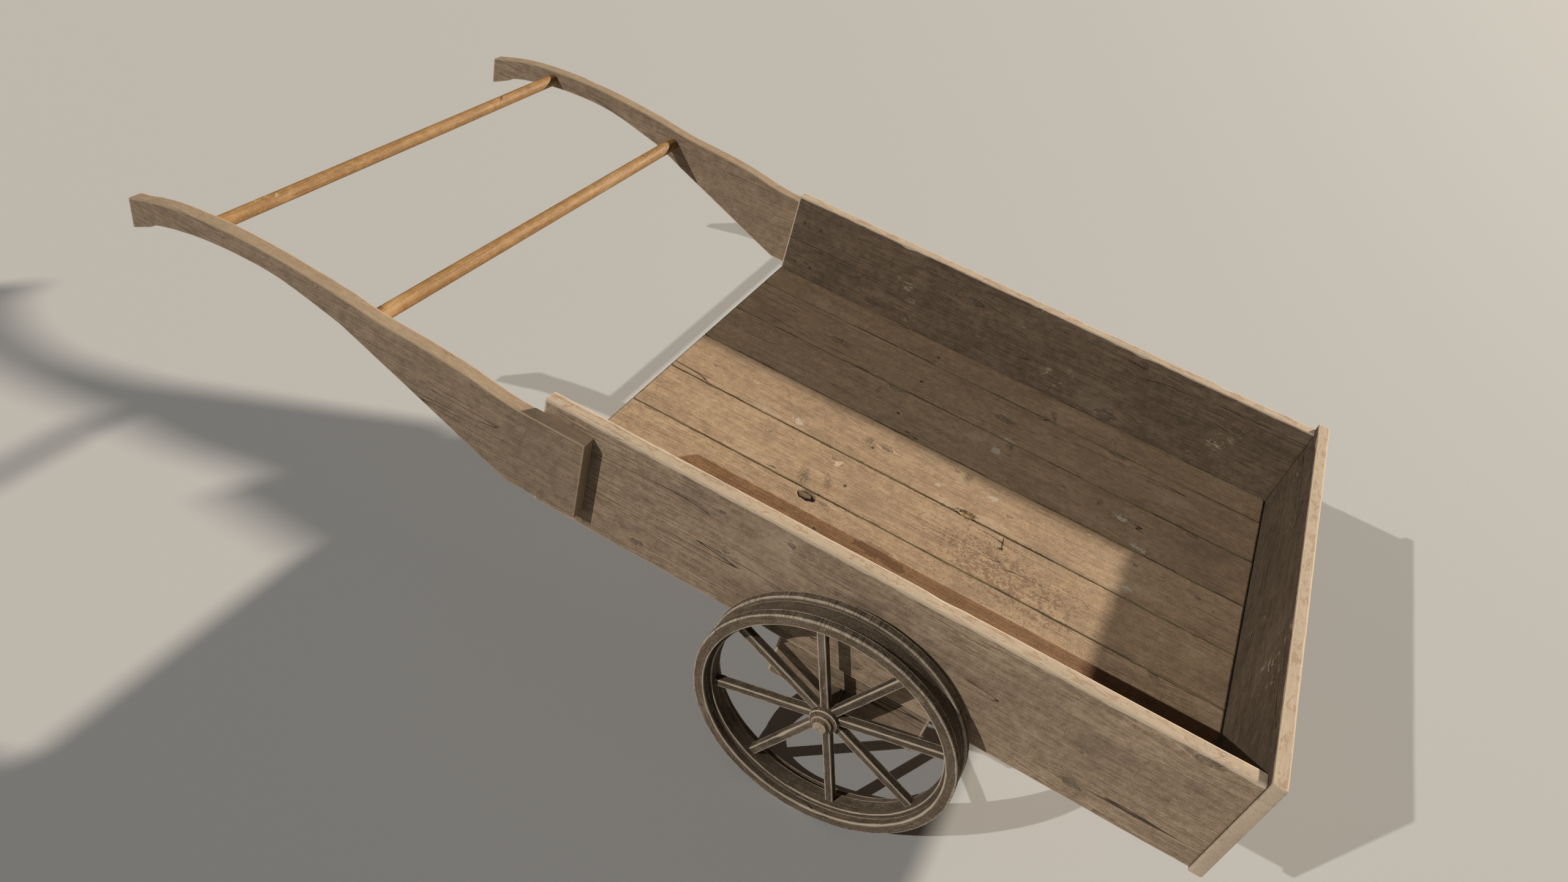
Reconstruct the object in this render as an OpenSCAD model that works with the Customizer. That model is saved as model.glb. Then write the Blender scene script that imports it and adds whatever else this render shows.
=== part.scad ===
// Two-wheeled wooden hand cart: an open-backed plank box on two spoked wheels,
// pushed or pulled by two shaped shafts that two round crossbars join.
// Millimetres. +X points to the closed front of the box, +Y to its left side, +Z up.
// The origin is on the ground, in the middle of the cart's length and width.

/* [Box] */
// Length of the side boards, from the open rear to the front board
box_length = 1154; // [1000:2:1300]
// Width over the outer faces of the side boards
box_width = 943; // [860:1:1000]
// Height of the side boards
side_height = 219; // [205:1:260]
// Thickness of the side boards
side_thickness = 25; // [22:1:30]
// Thickness of the front board
front_thickness = 22; // [18:1:28]
// How far the front board stands above the side boards
front_rise = 13; // [0:1:20]
// How far the front board hangs below the side boards
front_drop = 4; // [0:1:8]
// How far each end of the front board stands past the side board
front_overhang = 3.5; // [0:0.5:8]
// Width of the chamfer that wear has left on every board edge
edge_wear = 2.5; // [1:0.5:4]

/* [Floor] */
// Number of floor planks, the last one narrower than the rest
plank_count = 7; // [7:1:7]
// Width of a full floor plank
plank_width = 134.5; // [120:0.5:140]
// Thickness of a floor plank
plank_thickness = 20; // [16:1:22]
// Gap between neighbouring floor planks
plank_gap = 0.8; // [0.4:0.1:2]
// Gap between the planks' ends and the front board
floor_end_gap = 4; // [1:1:8]
// Thickness of the battens under the floor
batten_thickness = 17; // [14:1:20]
// Width of the battens under the floor
batten_width = 70; // [50:5:90]

/* [Shafts] */
// How far the shafts reach behind the box
shaft_reach = 835; // [835:1:835]
// Thickness of a shaft
shaft_thickness = 25; // [22:1:30]
// Length over which a shaft laps the side board
shaft_lap = 94; // [80:1:120]
// Radius of the rear handle bar
handle_bar_radius = 12.5; // [11:0.5:13]
// Radius of the front cross rail
cross_rail_radius = 13.5; // [12:0.5:15]
// Depth of the blind sockets that hold the bars
bar_socket_depth = 15; // [10:1:18]

/* [Wheels] */
// Outer radius of a wheel
wheel_radius = 223; // [215:1:230]
// Width of a wheel over its two flanges
wheel_width = 58.5; // [54:0.5:62]
// Gap between a wheel and the side board
wheel_gap = 9.5; // [8:0.5:14]
// Thickness of each flange ring
flange_thickness = 15; // [12:0.5:17]
// Radial width of each flange ring
flange_depth = 19; // [16:1:22]
// Depth of the groove between the flanges on the tread
tread_groove = 7; // [4:1:9]
// Radial thickness of the felloe between the flanges
felloe_depth = 19; // [16:1:24]
// Number of spokes in a wheel
spoke_count = 8; // [8:1:8]
// Width of a spoke across the wheel's face
spoke_width = 14; // [10:0.5:16]
// Depth of a spoke along the axle
spoke_depth = 15; // [12:0.5:20]
// Angle of the first spoke above the cart's forward direction
spoke_phase = 18.4; // [0:0.1:45]

/* [Axle] */
// Distance from the rear end of the side boards forward to the axle
axle_from_rear = 593; // [580:1:610]
// Distance from the side boards' lower edge down to the axle
axle_drop = 65; // [60:1:70]
// Radius of the axle
axle_radius = 11.5; // [9:0.5:12]
// Radial clearance between the axle and each hub
axle_clearance = 0.06; // [0.02:0.01:0.1]
// Radius of a hub
hub_radius = 24; // [20:0.5:26]
// Radius of the collar that keeps each wheel on
collar_radius = 17; // [14:0.5:18]
// Length of an axle bracket along the side board
bracket_length = 267; // [240:1:300]
// Height of an axle bracket
bracket_height = 100; // [90:1:110]
// Thickness of an axle bracket
bracket_thickness = 30; // [25:1:36]
// How far a bracket's face is set back from the side board's face
bracket_setback = 8.5; // [6:0.5:12]

/* [Hidden] */
$fn = 96;
board_tan = "#9c8972";
shaft_tan = "#a3907a";
floor_tan = "#a88f73";
bar_honey = "#c9a070";
wheel_brown = "#8d7b67";
iron_grey = "#4a4643";

fit = 0.05;                     // clearance round every glued or pegged joint
half_width = box_width / 2;
inner_half_width = half_width - side_thickness;
cart_length = shaft_reach + box_length + front_thickness;
rear_x = shaft_reach - cart_length / 2;       // rear ends of the side boards
base_z = wheel_radius + axle_drop;            // side boards' lower edge
floor_top = batten_thickness + plank_thickness;
batten_inset = 60;              // battens from the floor's two ends
batten_middle = 421.5;          // centre of the middle batten from the side boards' rear ends
floor_nail_offset = 12;         // floor nails from the middles of the planks
batten_housing = 8;             // depth of the slots that hold the battens' ends
nail_radius = 1.7;
nail_head_radius = 3.5;
nail_head_height = 1.2;

// Wheel stations, as distances from the cart's middle plane
flange_in = half_width + wheel_gap;
felloe_in = flange_in + flange_thickness;
felloe_out = flange_in + wheel_width - flange_thickness;
flange_out = flange_in + wheel_width;
wheel_mid = flange_in + wheel_width / 2;
spoke_station = wheel_mid - 2.5;
bracket_face = half_width - bracket_setback;
spacer_thickness = 4;
side_play = 0.5;                // end play of a hub on its axle
hub_in = bracket_face + spacer_thickness + side_play;
hub_out = felloe_out - 0.5;
collar_in = hub_out + side_play;
collar_out = collar_in + 6;
axle_end = flange_out - 2.5;
felloe_outer = wheel_radius - tread_groove;
felloe_inner = felloe_outer - felloe_depth;
flange_inner = wheel_radius - flange_depth;
spoke_tenon_radius = 4.5;
hub_socket = 8;                 // depth of the spoke sockets in a hub
felloe_socket = 12;             // depth of the spoke sockets in a felloe
rim_peg_radius = 3;
rim_peg_circle = (flange_inner + felloe_outer) / 2;
rim_peg_stop = 8;               // solid wood left outside the rim pegs' ends
collar_pin_radius = 1.5;

bracket_rear = axle_from_rear - 123;          // from the rear ends of the side boards
bolster_width = 100;
bolster_depth = 40;             // how far the bolster hangs below the side boards
bolster_tenon = [60, 12, 30];
dowel_radius = 5;
dowel_reach = 35;               // into the bracket and into the side board
dowel_inset = 32;
dowel_y = (bracket_face + inner_half_width) / 2;

// Bar centres, from the side boards' rear ends and lower edge
handle_bar_at = [-666, 210];
cross_rail_at = [-335, 190];

// Heads of the nails under the bars, with the lean that squares each nail to the underside
bar_nail_places = [[-666, 191.4, -7.6], [-347.9, 158, 21.8]];

// Shaft outline in side view: the grip's hump and flared tip are smooth curves
shaft_top = [[-835, 194], [-760, 216], [-690, 228], [-600, 235], [-515, 235], [-435, 231],
             [-365, 225], [-300, 217], [-220, 214], [-140, 208], [-80, 198], [-35, 193]];
shaft_underside = [[-835, 135], [-792, 156], [-769, 169], [-690, 188], [-600, 198],
                   [-500, 196], [-377, 170]];
shaft_heel = [[-40, 35], [shaft_lap, 35]];
shaft_shoulder = [[shaft_lap, 193]];
curve_steps = 4;

LEFT = 1;
RIGHT = -1;
SPOKES = [1 : spoke_count];
PLANKS = [1 : plank_count];

// ---- shared shapes ----

// Rectangle with its corners worn off
module worn_rectangle(a, b, wear = edge_wear) {
    polygon([[wear, 0], [a - wear, 0], [a, wear], [a, b - wear],
             [a - wear, b], [wear, b], [0, b - wear], [0, wear]]);
}

// Board from one corner, with all twelve edges chamfered
module board(size, wear = edge_wear) {
    intersection() {
        linear_extrude(size.z) worn_rectangle(size.x, size.y, wear);
        translate([0, size.y, 0]) rotate([90, 0, 0])
            linear_extrude(size.y) worn_rectangle(size.x, size.z, wear);
        rotate([90, 0, 90]) linear_extrude(size.x) worn_rectangle(size.y, size.z, wear);
    }
}

// Round bar along +Z from the origin, with chamfered ends
module round_bar(radius, length, wear = 1) {
    rotate_extrude()
        polygon([[0, 0], [radius - wear, 0], [radius, wear], [radius, length - wear],
                 [radius - wear, length], [0, length]]);
}

// Ring along +Z from z = low to z = high, chamfered on its four edges
module ring(inner, outer, low, high, wear = 1) {
    rotate_extrude()
        polygon([[inner + wear, low], [outer - wear, low], [outer, low + wear],
                 [outer, high - wear], [outer - wear, high], [inner + wear, high],
                 [inner, high - wear], [inner, low + wear]]);
}

// Nail along -Z with its head's top at the origin
module nail(length) {
    translate([0, 0, -nail_head_height])
        cylinder(r = nail_head_radius, h = nail_head_height, $fn = 24);
    translate([0, 0, -length]) cylinder(r = nail_radius, h = length, $fn = 24);
}

// Moves children from the box's own corner, at the rear end and lower edge
module at_box() {
    translate([rear_x, 0, base_z]) children();
}

// Turns children so that +Z runs outward along the axle on the named side
module on_axle(side) {
    translate([rear_x + axle_from_rear, 0, wheel_radius])
        rotate([-90 * side, 0, 0]) children();
}

// Keeps left-hand shapes on the left and mirrors them to the right
module on_side(side) {
    mirror([0, side == RIGHT ? 1 : 0, 0]) children();
}

// Smooth curve through a list of points
function curve_point(a, b, c, d, t) =
    0.5 * (2 * b + (c - a) * t + (2 * a - 5 * b + 4 * c - d) * t * t
           + (3 * b - a - 3 * c + d) * t * t * t);
function smooth_curve(points) = concat(
    [for (i = [0 : len(points) - 2], s = [0 : curve_steps - 1])
        curve_point(points[max(i - 1, 0)], points[i], points[i + 1],
                    points[min(i + 2, len(points) - 1)], s / curve_steps)],
    [points[len(points) - 1]]);
function reversed(points) = [for (i = [len(points) - 1 : -1 : 0]) points[i]];

// ---- box ----

end_batten_stations = [batten_inset, box_length - floor_end_gap - batten_inset - batten_width];
middle_batten_station = batten_middle - batten_width / 2;
batten_stations = concat(end_batten_stations, [middle_batten_station]);
dowel_stations = [bracket_rear + dowel_inset, bracket_rear + bracket_length - dowel_inset];

// Side board with slots for the battens' ends and sockets for the bracket's dowels
module side_board(side) {
    color(board_tan) at_box() on_side(side) difference() {
        translate([0, inner_half_width, 0])
            board([box_length, side_thickness, side_height]);
        for (x = batten_stations)
            translate([x - fit, inner_half_width - 1, -1])
                cube([batten_width + 2 * fit, batten_housing + 1, batten_thickness + 1 + fit]);
        for (x = dowel_stations)
            translate([x, dowel_y, -1])
                cylinder(r = dowel_radius + fit, h = dowel_reach + 2, $fn = 48);
    }
}

module front_board() {
    color(board_tan) at_box()
        translate([box_length, -half_width - front_overhang, -front_drop])
        board([front_thickness, box_width + 2 * front_overhang,
               side_height + front_drop + front_rise]);
}

// Left edge of plank i, counted from the right side of the box
function plank_start(i) = -inner_half_width + (i - 1) * plank_width;
function plank_end(i) = i < plank_count ? plank_start(i) + plank_width : inner_half_width;

module floor_plank(i) {
    color(floor_tan) at_box()
        translate([1, plank_start(i) + plank_gap / 2, batten_thickness])
        board([box_length - floor_end_gap - 1, plank_end(i) - plank_start(i) - plank_gap,
               plank_thickness], 1.6);
}

module floor_batten(x) {
    color(board_tan) at_box()
        translate([x, -inner_half_width - batten_housing + fit, 0])
        board([batten_width, 2 * (inner_half_width + batten_housing - fit),
               batten_thickness]);
}

// Cross beam over the axle, tenoned into both brackets
module bolster() {
    bracket_back = bracket_face - bracket_thickness;
    color(board_tan) at_box()
        translate([axle_from_rear - bolster_width / 2, 0, -bolster_depth]) {
            translate([0, -bracket_back, 0])
                board([bolster_width, 2 * bracket_back, bolster_depth + batten_thickness]);
            translate([(bolster_width - bolster_tenon.x) / 2, -bracket_back - bolster_tenon.y, 5])
                cube([bolster_tenon.x, 2 * (bracket_back + bolster_tenon.y), bolster_tenon.z]);
        }
}

// ---- shafts and bars ----

module shaft(side) {
    outline = concat(smooth_curve(shaft_top), shaft_shoulder,
                     reversed(concat(smooth_curve(shaft_underside), shaft_heel)));
    color(shaft_tan) at_box() on_side(side) difference() {
        translate([0, half_width + shaft_thickness, 0]) rotate([90, 0, 0])
            linear_extrude(shaft_thickness) polygon(outline);
        bar_socket(handle_bar_at, handle_bar_radius);
        bar_socket(cross_rail_at, cross_rail_radius);
    }
}

// Blind socket in the left shaft's inner face
module bar_socket(at, radius) {
    translate([at.x, half_width - 1, at.y]) rotate([-90, 0, 0])
        cylinder(r = radius + fit, h = bar_socket_depth + 1);
}

module crossbar(at, radius) {
    reach = half_width + bar_socket_depth - 0.5;
    color(bar_honey) at_box()
        translate([at.x, -reach, at.y]) rotate([-90, 0, 0]) round_bar(radius, 2 * reach);
}

module handle_bar() {
    crossbar(handle_bar_at, handle_bar_radius);
}

module cross_rail() {
    crossbar(cross_rail_at, cross_rail_radius);
}

// ---- axle and brackets ----

module axle_bracket(side) {
    color(board_tan) at_box() on_side(side) difference() {
        translate([bracket_rear, bracket_face - bracket_thickness, -bracket_height])
            board([bracket_length, bracket_thickness, bracket_height], 4);
        translate([axle_from_rear, 0, -axle_drop]) rotate([-90, 0, 0])
            cylinder(r = axle_radius + fit, h = half_width + 1);
        translate([axle_from_rear - bolster_tenon.x / 2 - fit,
                   bracket_face - bracket_thickness - 1, 5 - bolster_depth - fit])
            cube([bolster_tenon.x + 2 * fit, bolster_tenon.y + 1 + fit,
                  bolster_tenon.z + 2 * fit]);
        for (x = dowel_stations)
            translate([x, dowel_y, -dowel_reach - 1])
                cylinder(r = dowel_radius + fit, h = dowel_reach + 2, $fn = 48);
    }
}

module axle() {
    color(bar_honey) on_axle(LEFT) difference() {
        translate([0, 0, -axle_end]) round_bar(axle_radius, 2 * axle_end, 1.5);
        for (end = [LEFT, RIGHT])
            translate([0, -collar_radius - 1, end * (collar_in + collar_out) / 2])
                rotate([-90, 0, 0])
                cylinder(r = collar_pin_radius + fit, h = 2 * collar_radius + 2, $fn = 24);
    }
}

// Washer between a bracket and its hub
module spacer(side) {
    color(wheel_brown) on_axle(side)
        ring(axle_radius + fit, 17, bracket_face, bracket_face + spacer_thickness, 0.6);
}

// Collar outside a hub, pinned to the axle
module collar(side) {
    color(wheel_brown) on_axle(side) difference() {
        ring(axle_radius + fit, collar_radius, collar_in, collar_out);
        translate([0, -collar_radius - 1, (collar_in + collar_out) / 2]) rotate([-90, 0, 0])
            cylinder(r = collar_pin_radius + fit, h = 2 * collar_radius + 2, $fn = 24);
    }
}

module collar_pins() {
    color(iron_grey) for (side = [LEFT, RIGHT]) on_axle(side)
        translate([0, -collar_radius + 0.3, (collar_in + collar_out) / 2])
        rotate([-90, 0, 0])
        cylinder(r = collar_pin_radius, h = 2 * collar_radius - 0.6, $fn = 24);
}

module bracket_dowels() {
    color(bar_honey) at_box()
        for (side = [LEFT, RIGHT], x = dowel_stations)
            translate([x, side * dowel_y, -dowel_reach])
                cylinder(r = dowel_radius, h = 2 * dowel_reach, $fn = 48);
}

// ---- nails ----

// Three nails at each end of the front board, into the side boards' end grain
module front_nails() {
    color(iron_grey) at_box()
        for (side = [LEFT, RIGHT], z = [35, side_height / 2, side_height - 35])
            translate([box_length + front_thickness, side * (half_width - 12), z])
                rotate([0, 90, 0]) nail(62);
}

// Two nails from below through each end batten into each plank, and one near the middle of
// each plank from above into the middle batten
module floor_nails() {
    color(iron_grey) at_box() {
        for (x = end_batten_stations, i = PLANKS, y = [plank_start(i) + 22, plank_end(i) - 22])
            translate([x + batten_width / 2, y, -0.4]) rotate([180, 0, 0]) nail(32);
        for (i = PLANKS)
            translate([batten_middle, (plank_start(i) + plank_end(i)) / 2 - floor_nail_offset,
                       floor_top])
                nail(32);
    }
}

// Four nails from inside the box through each side board into the shaft's lap
module shaft_nails() {
    color(iron_grey) at_box()
        for (side = [LEFT, RIGHT], x = [28, 68], z = [66, 164])
            translate([x, side * inner_half_width, z]) rotate([90 * side, 0, 0]) nail(44);
}

// One nail up through the shaft's underside into each end of each bar
module bar_nails() {
    color(iron_grey) at_box()
        for (side = [LEFT, RIGHT], place = bar_nail_places)
            translate([place.x, side * (half_width + 8), place.y])
                rotate([0, place.z, 0]) rotate([180, 0, 0]) nail(30);
}

// ---- wheels ----

module hub(side) {
    color(wheel_brown) on_axle(side) difference() {
        ring(axle_radius + axle_clearance, hub_radius, hub_in, hub_out, 1.5);
        for (i = SPOKES)
            rotate([0, 0, spoke_angle(i)]) translate([hub_radius - hub_socket, 0, spoke_station])
                rotate([0, 90, 0])
                cylinder(r = spoke_tenon_radius + fit, h = hub_socket + 2, $fn = 32);
    }
}

function spoke_angle(i) = spoke_phase + (i - 1) * 360 / spoke_count;

// Rectangular spoke with a round tenon at each end; its shoulders follow the hub and felloe
module spoke(side, i) {
    tenon_start = hub_radius - hub_socket + 0.5;
    tenon_end = felloe_inner + felloe_socket - 0.5;
    color(wheel_brown) on_axle(side) rotate([0, 0, spoke_angle(i)]) {
        intersection() {
            translate([0, -spoke_width / 2, spoke_station - spoke_depth / 2])
                rotate([90, 0, 90]) linear_extrude(felloe_inner)
                worn_rectangle(spoke_width, spoke_depth, 1.5);
            ring(hub_radius + fit, felloe_inner - fit, flange_in, flange_out, 0);
        }
        translate([tenon_start, 0, spoke_station]) rotate([0, 90, 0])
            cylinder(r = spoke_tenon_radius, h = tenon_end - tenon_start, $fn = 32);
    }
}

// Inner wooden rim that the spokes stand in
module felloe(side) {
    color(wheel_brown) on_axle(side) difference() {
        ring(felloe_inner, felloe_outer, felloe_in, felloe_out, 0.8);
        for (i = SPOKES)
            rotate([0, 0, spoke_angle(i)]) translate([felloe_inner - 2, 0, spoke_station])
                rotate([0, 90, 0])
                cylinder(r = spoke_tenon_radius + fit, h = felloe_socket + 2, $fn = 32);
        rim_peg_holes(felloe_in - 1, felloe_out + 1);
    }
}

// Holes or pegs between the spokes, from one station to another
module rim_peg_set(radius, low, high) {
    for (i = SPOKES)
        rotate([0, 0, spoke_angle(i) + 180 / spoke_count])
            translate([rim_peg_circle, 0, low]) cylinder(r = radius, h = high - low, $fn = 32);
}

module rim_peg_holes(low, high) {
    rim_peg_set(rim_peg_radius + fit, low, high);
}

module outer_flange(side) {
    color(wheel_brown) on_axle(side) difference() {
        ring(flange_inner, wheel_radius, felloe_out, flange_out, 2);
        rim_peg_holes(felloe_out - 1, flange_out - rim_peg_stop);
    }
}

module inner_flange(side) {
    color(wheel_brown) on_axle(side) difference() {
        ring(flange_inner, wheel_radius, flange_in, felloe_in, 2);
        rim_peg_holes(flange_in - 1, felloe_in + 1);
    }
}

module rim_pegs(side) {
    color(bar_honey) on_axle(side)
        rim_peg_set(rim_peg_radius, flange_in + 0.2, flange_out - rim_peg_stop - 0.3);
}

side_board(LEFT);  // side_board_left
side_board(RIGHT);  // side_board_right
front_board();
for (i = PLANKS) floor_plank(i);
floor_batten(batten_stations[0]);  // floor_batten_rear
floor_batten(batten_stations[1]);  // floor_batten_front
floor_batten(middle_batten_station);  // floor_batten_middle
bolster();
shaft(LEFT);  // shaft_left
shaft(RIGHT);  // shaft_right
handle_bar();
cross_rail();
axle_bracket(LEFT);  // axle_bracket_left
axle_bracket(RIGHT);  // axle_bracket_right
axle();
spacer(LEFT);  // spacer_left
spacer(RIGHT);  // spacer_right
collar(LEFT);  // collar_left
collar(RIGHT);  // collar_right
collar_pins();
bracket_dowels();
front_nails();
floor_nails();
shaft_nails();
bar_nails();
hub(LEFT);  // hub_left
felloe(LEFT);  // felloe_left
outer_flange(LEFT);  // outer_flange_left
inner_flange(LEFT);  // inner_flange_left
rim_pegs(LEFT);  // rim_pegs_left
hub(RIGHT);  // hub_right
felloe(RIGHT);  // felloe_right
outer_flange(RIGHT);  // outer_flange_right
inner_flange(RIGHT);  // inner_flange_right
rim_pegs(RIGHT);  // rim_pegs_right
for (i = SPOKES) spoke(LEFT, i);
for (i = SPOKES) spoke(RIGHT, i);
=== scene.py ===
"""Looks of the wooden hand cart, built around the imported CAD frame. Metres, same frame."""

import itertools
import math

import bmesh
import bpy
import numpy as np
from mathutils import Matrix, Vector, noise
from mathutils.bvhtree import BVHTree


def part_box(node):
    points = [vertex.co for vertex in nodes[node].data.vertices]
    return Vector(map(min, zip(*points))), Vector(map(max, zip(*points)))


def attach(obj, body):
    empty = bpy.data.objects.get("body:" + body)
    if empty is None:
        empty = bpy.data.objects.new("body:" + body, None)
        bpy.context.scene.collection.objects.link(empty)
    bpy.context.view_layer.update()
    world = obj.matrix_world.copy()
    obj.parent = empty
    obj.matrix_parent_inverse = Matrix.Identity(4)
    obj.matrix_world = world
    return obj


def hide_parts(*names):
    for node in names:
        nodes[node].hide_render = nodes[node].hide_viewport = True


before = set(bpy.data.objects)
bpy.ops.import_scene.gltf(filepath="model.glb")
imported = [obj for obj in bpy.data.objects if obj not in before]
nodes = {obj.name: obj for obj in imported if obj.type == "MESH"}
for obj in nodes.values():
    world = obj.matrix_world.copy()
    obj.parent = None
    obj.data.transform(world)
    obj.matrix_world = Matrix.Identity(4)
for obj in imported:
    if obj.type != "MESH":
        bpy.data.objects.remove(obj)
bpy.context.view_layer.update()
MM = 0.001
X, Y, Z = np.eye(3)


# ---- camera, light and floor ----

CAMERA_AT = Vector((0.5077, -1.5553, 1.5890))
CAMERA_TURN = (48.876, -13.430, 26.717)   # degrees about X, Y and Z
LENS = 24.445                             # millimetres, on a 36 mm sensor
STAGE_HALF = 30.0
STAGE_GREY = (0.46, 0.46, 0.46, 1)
SKY = (0.92, 0.95, 1.0, 1)


def make_camera():
    data = bpy.data.cameras.new("camera")
    data.lens = LENS
    data.sensor_width = 36.0
    data.dof.use_dof = False
    camera = bpy.data.objects.new("camera", data)
    camera.location = CAMERA_AT
    camera.rotation_euler = [math.radians(a) for a in CAMERA_TURN]
    bpy.context.scene.collection.objects.link(camera)
    bpy.context.scene.camera = camera


def sun(name, travel, strength, spread, colour):
    """A distant light whose rays travel along a direction, with its spread in degrees."""
    data = bpy.data.lights.new(name, "SUN")
    data.energy = strength
    data.angle = math.radians(spread)
    data.color = colour
    light = bpy.data.objects.new(name, data)
    light.rotation_euler = Vector(travel).to_track_quat("-Z", "Y").to_euler()
    bpy.context.scene.collection.objects.link(light)


def make_lights():
    """A dim sky, a hard key from behind the right side and a warm light from the front left."""
    world = bpy.data.worlds.new("studio")
    world.use_nodes = True
    background = world.node_tree.nodes["Background"]
    background.inputs["Color"].default_value = SKY
    background.inputs["Strength"].default_value = 0.05
    bpy.context.scene.world = world
    bpy.context.scene.view_settings.view_transform = "Standard"
    sun("key", (0.94, 1.195, -1.0), 2.0, 0.5, (1.0, 0.965, 0.90))
    sun("warm_side", (-1.19, -2.07, -1.0), 5.6, 2.5, (1.0, 0.90, 0.75))


def make_stage():
    """A plain pale floor."""
    data = bpy.data.meshes.new("floor")
    h = STAGE_HALF
    data.from_pydata([(-h, -h, 0), (h, -h, 0), (h, h, 0), (-h, h, 0)], [], [(0, 1, 2, 3)])
    floor = bpy.data.objects.new("floor", data)
    bpy.context.scene.collection.objects.link(floor)
    plain = bpy.data.materials.new("pale_floor")
    plain.use_nodes = True
    shader = plain.node_tree.nodes["Principled BSDF"]
    shader.inputs["Base Color"].default_value = STAGE_GREY
    shader.inputs["Roughness"].default_value = 0.95
    data.materials.append(plain)


# ---- shader building ----

def shade(colour, factor):
    return tuple(factor * c for c in colour)


def between(colour, other, share):
    """A colour with some share of another."""
    return tuple((1 - share) * a + share * b for a, b in zip(colour, other))


class Graph:
    """Short calls for building one material's node tree."""

    def __init__(self, name):
        self.name = name
        self.material = bpy.data.materials.new(name)
        self.material.use_nodes = True
        self.tree = self.material.node_tree
        self.shader = self.tree.nodes["Principled BSDF"]

    def node(self, kind, **settings):
        made = self.tree.nodes.new(kind)
        for key, value in settings.items():
            setattr(made, key, value)
        return made

    def put(self, socket, value):
        if isinstance(value, bpy.types.NodeSocket):
            self.tree.links.new(value, socket)
        else:
            socket.default_value = value

    def attribute(self, name, output="Fac"):
        return self.node("ShaderNodeAttribute", attribute_name=name).outputs[output]

    def math(self, operation, a, b=0.0, c=0.0, clamp=False):
        made = self.node("ShaderNodeMath", operation=operation, use_clamp=clamp)
        for socket, value in zip(made.inputs, (a, b, c)):
            self.put(socket, value)
        return made.outputs[0]

    def times(self, a, b):
        return self.math("MULTIPLY", a, b)

    def add_up(self, start, *layers):
        """A value plus some fields, each times its own factor."""
        total = start
        for field, factor in layers:
            total = self.math("MULTIPLY_ADD", field, factor, total)
        return total

    def vector(self, operation, a, b=(0, 0, 0)):
        made = self.node("ShaderNodeVectorMath", operation=operation)
        self.put(made.inputs[0], a)
        self.put(made.inputs[1], b)
        return made.outputs["Value" if operation == "LENGTH" else "Vector"]

    def parts(self, vector):
        """The three coordinates of a vector."""
        made = self.node("ShaderNodeSeparateXYZ")
        self.put(made.inputs[0], vector)
        return made.outputs

    def step(self, value, low, high):
        """0 at low, 1 at high, smooth between. High may be the smaller of the two."""
        made = self.node("ShaderNodeMapRange", interpolation_type="SMOOTHSTEP")
        self.put(made.inputs["Value"], value)
        made.inputs["From Min"].default_value = low
        made.inputs["From Max"].default_value = high
        return made.outputs["Result"]

    def noise(self, vector, scale, detail=3.0, roughness=0.5, distortion=0.0, colour=False):
        made = self.node("ShaderNodeTexNoise")
        self.put(made.inputs["Vector"], vector)
        made.inputs["Scale"].default_value = scale
        made.inputs["Detail"].default_value = detail
        made.inputs["Roughness"].default_value = roughness
        made.inputs["Distortion"].default_value = distortion
        return made.outputs["Color" if colour else "Fac"]

    def streaks(self, vector, along, across, *settings, **options):
        """Noise with one scale along the grain and another across it."""
        stretched = self.vector("MULTIPLY", vector, (along, across, across))
        return self.noise(stretched, 1.0, *settings, **options)

    def mix(self, factor, a, b, blend="MIX"):
        made = self.node("ShaderNodeMix", data_type="RGBA", blend_type=blend)
        self.put(made.inputs[0], factor)
        for socket, value in zip((made.inputs[6], made.inputs[7]), (a, b)):
            self.put(socket, value if isinstance(value, bpy.types.NodeSocket) else (*value, 1.0))
        return made.outputs[2]

    def tint(self, colour, where, share, paint):
        """A colour with some share of a paint at the places that a mask gives."""
        return self.mix(self.times(where, share), colour, paint)

    def grey(self, value):
        """A grey from one number."""
        made = self.node("ShaderNodeCombineColor")
        for socket in made.inputs:
            self.put(socket, value)
        return made.outputs[0]

    def bump(self, height, distance, strength=1.0):
        made = self.node("ShaderNodeBump")
        made.inputs["Strength"].default_value = strength
        made.inputs["Distance"].default_value = distance
        self.put(made.inputs["Height"], height)
        self.put(self.shader.inputs["Normal"], made.outputs[0])


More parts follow.
